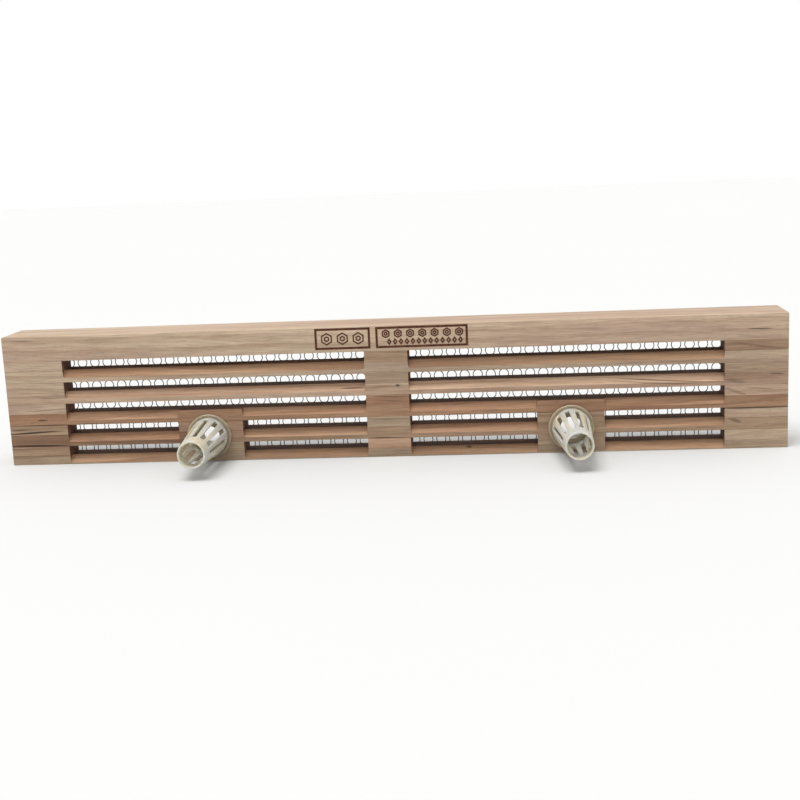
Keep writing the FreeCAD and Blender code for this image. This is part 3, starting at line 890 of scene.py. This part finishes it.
@dataclass
class BurntMark:
    """Two plain burnt frames with comb cells and lozenges in them, on the front of the top rail.

    Points are (x, z) in millimetres.
    """

    finish: bpy.types.Material
    heavy: float = 1.2
    light: float = 0.75
    proud: float = 0.04 * MM
    frames: tuple = ((-37.0, 60.0, -8.4, 70.2), (-4.3, 60.0, 43.6, 70.2))
    cells: tuple[CellRow, ...] = (CellRow(-31.2, 65.1, 8.5, 3, 3.0), CellRow(-31.2, 65.1, 8.5, 3, 1.2),
                                  CellRow(0.6, 67.0, 6.5, 7, 2.0), CellRow(0.6, 67.0, 6.5, 7, 0.8),
                                  CellRow(2.3, 62.7, 3.16, 13, 0.85, 4, 1.5))

    def trace(self, mesh: bmesh.types.BMesh, front: float, points: list[tuple[float, float]], width: float) -> None:
        """Burn one closed line of even width through some points, with mitred corners.

        Args:
            mesh: The mesh that gets the line.
            front: The y position of the rail's face.
            points: The line's corners.
            width: The line's width.
        """
        spots = [Vector(point) for point in points]
        sides = []
        for here, there in zip(spots, spots[1:] + spots[:1]):
            along = (there - here).normalized()
            sides.append(Vector((-along.y, along.x)))
        rims = []
        for spot, before, after in zip(spots, sides[-1:] + sides[:-1], sides):
            mitre = (before + after) / (1 + before.dot(after)) * width / 2
            rims.append([mesh.verts.new(((spot.x + turn * mitre.x) * MM, front + lift, (spot.y + turn * mitre.y) * MM))
                         for turn, lift in ((1, -self.proud), (1, self.proud), (-1, self.proud), (-1, -self.proud))])
        for near, far in zip(rims, rims[1:] + rims[:1]):
            band(mesh, near, far)

    def build(self) -> None:
        """Build the mark as one piece of thin lines."""
        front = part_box("top_rail")[0].y
        mesh = bmesh.new()
        for left, foot, right, head in self.frames:
            self.trace(mesh, front, [(left, foot), (right, foot), (right, head), (left, head)], self.heavy)
        for row in self.cells:
            turns = [turn * math.tau / row.corners for turn in range(row.corners)]
            for number in range(row.count):
                x = row.x + number * row.pitch
                points = [(x + row.radius * math.sin(turn), row.z + row.stretch * row.radius * math.cos(turn))
                          for turn in turns]
                self.trace(mesh, front, points, self.light)
        bmesh.ops.recalc_face_normals(mesh, faces=mesh.faces)
        piece = piece_from(mesh, "comb_mark", [self.finish])
        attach(piece, "board")
        log.info("comb_mark: %d faces", len(piece.data.polygons))


# ------------------------------------------------------------------ ring strips

@dataclass
class RingStrips:
    """The strips of wire rings that stand behind the slots."""

    finish: bpy.types.Material
    pitch: float = 7.07 * MM
    ring_radius: float = 2.5 * MM
    wire_radius: float = 0.25 * MM
    rail_radius: float = 0.3 * MM
    unevenness: float = 0.06

    def tree(self) -> GeometryTree:
        """Wire up the tree that repeats one ring along a straight wire."""
        tree = GeometryTree("ring_strip", count="Int", pitch="Float", ring_radius="Float", wire_radius="Float",
                            rail_radius="Float", first_ring="Vector", unevenness="Float", seed="Int",
                            finish="Material")
        given = tree.given
        step = tree.xyz(given["pitch"], 0.0, 0.0)
        line = tree.node("GeometryNodeMeshLine", {"Count": given["count"], "Start Location": given["first_ring"],
                                                  "Offset": step}, mode="OFFSET")
        uneven = given["unevenness"]
        back = tree.math("MULTIPLY", uneven, -1.0)
        quarter = math.pi / 2
        least = tree.xyz(tree.math("ADD", back, quarter), back, back)
        most = tree.xyz(tree.math("ADD", uneven, quarter), uneven, uneven)
        turn = tree.node("FunctionNodeRandomValue", {0: least, 1: most, "Seed": given["seed"]},
                         data_type="FLOAT_VECTOR")
        turn = tree.node("FunctionNodeEulerToRotation", {0: turn.outputs[0]})
        ring = tree.sweep(tree.circle(24, given["ring_radius"]), tree.circle(5, given["wire_radius"]))
        rings = tree.node("GeometryNodeInstanceOnPoints", {"Points": line.outputs[0], "Instance": ring,
                                                           "Rotation": turn.outputs[0]})
        half = tree.math("MULTIPLY", given["pitch"], -0.5)
        down = tree.math("MULTIPLY", given["ring_radius"], -1.0)
        start = tree.vector("ADD", given["first_ring"], tree.xyz(half, 0.0, down))
        length = tree.xyz(tree.math("MULTIPLY", given["pitch"], given["count"]), 0.0, 0.0)
        path = tree.node("GeometryNodeCurvePrimitiveLine",
                         {"Start": start, "End": tree.vector("ADD", start, length)})
        rail = tree.sweep(path.outputs[0], tree.circle(10, given["rail_radius"]), True)
        tree.finish([rings.outputs[0], rail])
        return tree

    def build(self) -> None:
        """Build every strip from the frame's own strips."""
        tree = self.tree()
        strips = sorted(name for name in frame["nodes"] if name.startswith("ring_strip"))
        for seed, node in enumerate(strips):
            low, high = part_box(node)
            count = round((high.x - low.x) / self.pitch)
            first = Vector((low.x + self.pitch / 2, (low.y + high.y) / 2,
                            low.z + self.ring_radius + self.rail_radius))
            piece = tree.grow(f"{node}_wire", count=count, pitch=self.pitch, ring_radius=self.ring_radius,
                              wire_radius=self.wire_radius, rail_radius=self.rail_radius, first_ring=first,
                              unevenness=self.unevenness, seed=seed, finish=self.finish)
            board_piece(piece, node)


# ------------------------------------------------------------------ staples

@dataclass
class StripStaples:
    """The staples that hold the cut ends of the ring strips beside the cone blocks."""

    finish: bpy.types.Material
    wire: float = 0.7 * MM
    leg: float = 6.0 * MM
    bend: float = 0.6 * MM
    inset: float = 3.0 * MM

    def tree(self) -> GeometryTree:
        """Wire up the tree that puts one staple at each given point."""
        tree = GeometryTree("strip_staples", wire_radius="Float", leg="Float", height="Float", bend="Float",
                            finish="Material")
        given = tree.given
        line = tree.node("GeometryNodeMeshLine", {"Count": 4}, mode="OFFSET")
        index = tree.node("GeometryNodeInputIndex").outputs[0]
        upper = tree.math("GREATER_THAN", index, 1.5)
        middle = tree.math("COMPARE", index, 1.5, 0.6)
        depth = tree.math("MULTIPLY", tree.math("SUBTRACT", middle, 1.0), given["leg"])
        spot = tree.xyz(0.0, depth, tree.math("MULTIPLY", upper, given["height"]))
        placed = tree.node("GeometryNodeSetPosition", {"Geometry": line.outputs[0], "Position": spot})
        curve = tree.node("GeometryNodeMeshToCurve", {0: placed.outputs[0]})
        bent = tree.node("GeometryNodeFilletCurve", {"Curve": curve.outputs[0], "Radius": given["bend"],
                                                     "Count": 4}, mode="POLY")
        staple = tree.sweep(bent.outputs[0], tree.circle(8, given["wire_radius"]), True)
        spots = tree.node("GeometryNodeMeshToPoints", {0: given["Geometry"]}).outputs[0]
        spread = tree.node("GeometryNodeInstanceOnPoints", {"Points": spots, "Instance": staple})
        tree.finish([spread.outputs[0]])
        return tree

    def build(self) -> None:
        """Build all the staples as one piece."""
        low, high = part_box("strip_staples")
        row_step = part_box("slat_4_left")[1].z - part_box("bottom_rail")[1].z
        height = high.z - low.z - row_step - self.wire
        points = []
        for row in range(len(CONE_ROWS)):
            for side in ("left", "right"):
                block_low, block_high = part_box(f"row_4_cone_block_{side}")
                for x in (block_low.x + self.inset, block_high.x - self.inset):
                    points.append(Vector((x, high.y - self.wire / 2, low.z + self.wire / 2 + row * row_step)))
        piece = self.tree().grow("strip_staples_wire", points, wire_radius=self.wire / 2, leg=self.leg - self.wire / 2,
                                 height=height, bend=self.bend, finish=self.finish)
        board_piece(piece, "strip_staples")


# ------------------------------------------------------------------ escape cones

@dataclass
class EscapeCone:
    """One moulded cone: a flange, a hollow spigot, and a tapered cage of ribs with a solid tip."""

    side: str
    finishes: list[bpy.types.Material]
    windows: int = 11
    window_width: float = 2.5 * MM
    edge_loop: float = 0.22 * MM
    base_radius: float = 10.2 * MM
    tip_radius: float = 7.3 * MM
    length: float = 45.0 * MM
    wall: float = 1.4 * MM
    tip_wall: float = 1.0 * MM
    shoulder: float = 5.0 * MM
    flange_radius: float = 12.1 * MM
    flange_thickness: float = 1.5 * MM
    rim_width: float = 1.3 * MM
    spigot_radius: float = 7.2 * MM
    spigot_length: float = 12.0 * MM
    spigot_lead: float = 0.6 * MM
    bore_radius: float = 7.6 * MM
    bore_reach: float = 60.0 * MM
    window_start: float = 4.0 * MM
    window_end: float = 36.0 * MM
    facets: int = 96
    nose: float = 0.3 * MM
    web: float = 0.84

    def placement(self) -> Matrix:
        """Return the cone's place: its axis points along -Y from the back of the flange."""
        joint = next(item for item in frame["joints"] if item["name"] == f"{self.side}_cone_pull")
        lean = math.atan2(joint["axis"][0], -joint["axis"][1])
        low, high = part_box(f"escape_cone_{self.side}")
        reach = self.spigot_length * math.cos(lean) + (self.spigot_radius - self.spigot_lead) * abs(math.sin(lean))
        middle = (low.x + high.x - self.flange_thickness * math.sin(lean)) / 2
        spot = Vector((middle, high.y - reach, (low.z + high.z) / 2))
        return Matrix.Translation(spot) @ Matrix.Rotation(lean, 4, "Z")

    def radius(self, out: float) -> float:
        """Return the cage's outer radius at a distance from the back of the flange."""
        slope = (self.base_radius - self.tip_radius) / (self.length - self.shoulder)
        if out < self.shoulder:
            return self.base_radius
        return self.base_radius - slope * (out - self.shoulder)

    def rows(self) -> list[float]:
        """Return the distances at which the cage has a loop of points."""
        near, far, loop = self.window_start, self.window_end, self.edge_loop
        spread = [near + (far - near) * share for share in (0.08, 0.2, 0.36, 0.52, 0.68, 0.84, 0.95)]
        return ([0.7 * self.flange_thickness, 0.65 * near, near - loop, near, near + loop] + spread
                + [far - loop, far, far + loop, 0.5 * (far + self.length), self.length - 3 * loop,
                   self.length - loop, self.length])

    def cage(self) -> bmesh.types.BMesh:
        """Make the outer skin of the cage, with its windows left open."""
        mesh = bmesh.new()
        period = math.tau / self.windows
        phase = 0.0 if self.side == "left" else 0.5
        loops = []
        for out in self.rows():
            radius = self.radius(out)
            half = math.asin(self.window_width / 2 / radius)
            edge = self.edge_loop / radius
            loop = []
            for window in range(self.windows):
                for offset in (-period / 2, -half - edge, -half, 0.0, half, half + edge):
                    angle = (window + phase) * period + offset
                    loop.append(mesh.verts.new((radius * math.sin(angle), -out, radius * math.cos(angle))))
            loops.append(loop)
        count = len(loops[0])
        for (before, after), (near, far) in zip(zip(loops, loops[1:]), zip(self.rows(), self.rows()[1:])):
            opening = self.window_start - 1e-7 < near and far < self.window_end + 1e-7
            for index in range(count):
                if opening and index % 6 in (2, 3):
                    continue
                following = (index + 1) % count
                mesh.faces.new((before[index], before[following], after[following], after[index]))
        bmesh.ops.recalc_face_normals(mesh, faces=mesh.faces)
        return mesh

    def collar(self) -> bmesh.types.BMesh:
        """Make the flange with its raised rim, and the spigot, as one turned ring."""
        throat = self.spigot_radius - self.wall
        top, web = self.flange_thickness, self.web * self.flange_thickness
        rim, nose = self.flange_radius - self.rim_width, self.nose
        profile = [(throat, -self.spigot_length), (self.spigot_radius - self.spigot_lead, -self.spigot_length),
                   (self.spigot_radius, -self.spigot_length + self.spigot_lead), (self.spigot_radius, 0.0),
                   (self.flange_radius - nose, 0.0), (self.flange_radius, nose),
                   (self.flange_radius, top - nose), (self.flange_radius - nose, top),
                   (rim + nose, top), (rim, web + 0.1 * MM), (rim - 0.15 * MM, web),
                   (self.base_radius + nose, web), (self.base_radius - nose, web + 2 * nose),
                   (self.base_radius - self.wall, web + 2 * nose), (self.base_radius - self.wall - nose, top),
                   (throat + nose, top), (throat, top - nose)]
        mesh = bmesh.new()
        loops = []
        for step in range(self.facets):
            angle = math.tau * step / self.facets
            loops.append([mesh.verts.new((radius * math.sin(angle), -out, radius * math.cos(angle)))
                          for radius, out in profile])
        for loop, beside in zip(loops, loops[1:] + loops[:1]):
            band(mesh, loop, beside)
        bmesh.ops.recalc_face_normals(mesh, faces=mesh.faces)
        for face in mesh.faces:
            # The collar takes the flange finish, with its painted see-through wood tint.
            face.material_index = 1
        return mesh

    def build(self) -> None:
        """Build the whole cone as one piece on its own body."""
        name = f"escape_cone_{self.side}_moulding"
        cage = piece_from(self.cage(), f"{name}_cage", self.finishes)
        thickness = cage.vertex_groups.new(name="thickness")
        for vert in cage.data.vertices:
            share = -vert.co.y / self.length
            thickness.add([vert.index], 1 - share + share * self.tip_wall / self.wall, "REPLACE")
        wall = cage.modifiers.new("wall", "SOLIDIFY")
        wall.vertex_group = thickness.name
        wall.thickness = self.wall
        wall.offset = -1.0
        wall.use_even_offset = True
        smooth = cage.modifiers.new("smooth", "SUBSURF")
        smooth.levels = smooth.render_levels = 2
        bake_modifiers(cage)
        mesh = bmesh.new()
        mesh.from_mesh(cage.data)
        bpy.data.objects.remove(cage)
        collar = self.collar()
        spare = bpy.data.meshes.new("collar")
        collar.to_mesh(spare)
        collar.free()
        mesh.from_mesh(spare)
        bpy.data.meshes.remove(spare)
        mesh.transform(self.placement())
        piece = piece_from(mesh, name, self.finishes)
        shade(piece, 35)
        board_piece(piece, f"escape_cone_{self.side}", f"{self.side}_cone")


# ------------------------------------------------------------------ studio

@dataclass
class Studio:
    """A pale floor, a white surround and soft light from above."""

    floor_size: float = 8.0
    floor_colour: Colour = srgb(196, 196, 195)
    sky_power: float = 2.6
    sky_angle: float = 40.0
    sky_place: tuple[float, float, float] = (-0.2, -0.27, 1.1)
    box_power: float = 0.6
    box_size: float = 0.8
    box_place: tuple[float, float, float] = (-0.9, -1.0, 0.8)

    def build(self) -> None:
        """Build the floor, the world and the lights."""
        mesh = bmesh.new()
        bmesh.ops.create_grid(mesh, x_segments=1, y_segments=1, size=self.floor_size / 2)
        material, graph, shader = new_material("pale_floor")
        place = graph.place()
        cloud = graph.noise(place, (3, 3, 3))
        slightly = tuple(0.985 * channel for channel in self.floor_colour[:3]) + (1.0,)
        graph.feed(shader, {"Base Color": graph.mix(cloud, self.floor_colour, slightly), "Roughness": 0.9,
                            "Specular IOR Level": 0.1})
        floor = piece_from(mesh, "floor", [material])
        world = bpy.data.worlds.new("surround")
        world.use_nodes = True
        background = world.node_tree.nodes["Background"]
        Graph(world.node_tree).feed(background, {"Color": (1.0, 1.0, 1.0, 1.0), "Strength": 1.0})
        bpy.context.scene.world = world
        sky = bpy.data.lights.new("overhead", "SUN")
        sky.energy = self.sky_power
        sky.angle = math.radians(self.sky_angle)
        self.aim(sky, Vector(self.sky_place))
        box = bpy.data.lights.new("front_left", "AREA")
        box.size = self.box_size
        box.energy = self.box_power
        self.aim(box, Vector(self.box_place))
        bpy.context.scene.view_settings.view_transform = "Standard"
        log.info("studio: floor, surround and two lamps")

    def aim(self, light: bpy.types.Light, place: Vector) -> None:
        """Stand a light somewhere, and turn it to the board."""
        lamp = link(bpy.data.objects.new(light.name, light))
        lamp.location = place
        lamp.rotation_euler = (-place).to_track_quat("-Z", "Y").to_euler()


@dataclass
class Viewpoint:
    """The camera: where it stands and how it is turned."""

    place: Vector
    heading: float
    tilt: float
    roll: float
    lens: float

    def build(self) -> None:
        """Add the camera and make it the scene's own."""
        data = bpy.data.cameras.new("viewpoint")
        data.sensor_width = 36.0
        data.lens = self.lens
        data.clip_start = 0.01
        camera = link(bpy.data.objects.new("viewpoint", data))
        turned = (Matrix.Rotation(-math.radians(self.heading), 4, "Z")
                  @ Matrix.Rotation(math.radians(90 - self.tilt), 4, "X")
                  @ Matrix.Rotation(math.radians(self.roll), 4, "Z"))
        camera.matrix_world = Matrix.Translation(self.place) @ turned
        bpy.context.scene.camera = camera
        log.info("camera at %s", tuple(round(value, 4) for value in self.place))


# ------------------------------------------------------------------ the scene

def main() -> None:
    """Build the board, its strips and cones, and the studio around them."""
    logging.basicConfig(level=logging.INFO, format="%(message)s")
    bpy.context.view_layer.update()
    # The dark slot material is painted shade.
    Board(PaintedSlotShadeFinish().build("slot_painted_shade")).build()
    BurntMark(BurntFinish().build("burnt_line")).build()
    RingStrips(WireFinish().build("ring_wire")).build()
    StripStaples(WireFinish(srgb(205, 206, 204), srgb(165, 166, 166), 0.28).build("staple_wire")).build()
    # The flange copy of the plastic is warmer and darker: a painted tint of the wood seen through the thin flange,
    # besides its higher transmission.
    ivory = [IvoryFinish().build("ivory_plastic"),
             IvoryFinish(srgb(200, 184, 154), srgb(188, 176, 152), 0.5).build("ivory_flange_painted_wood_tint")]
    for side in ("left", "right"):
        EscapeCone(side, ivory).build()
    Studio().build()
    Viewpoint(Vector((70.71, -690.73, 164.14)) * MM, heading=-5.357, tilt=10.98, roll=-2.606, lens=58.75).build()


if __name__ == "__main__":
    main()
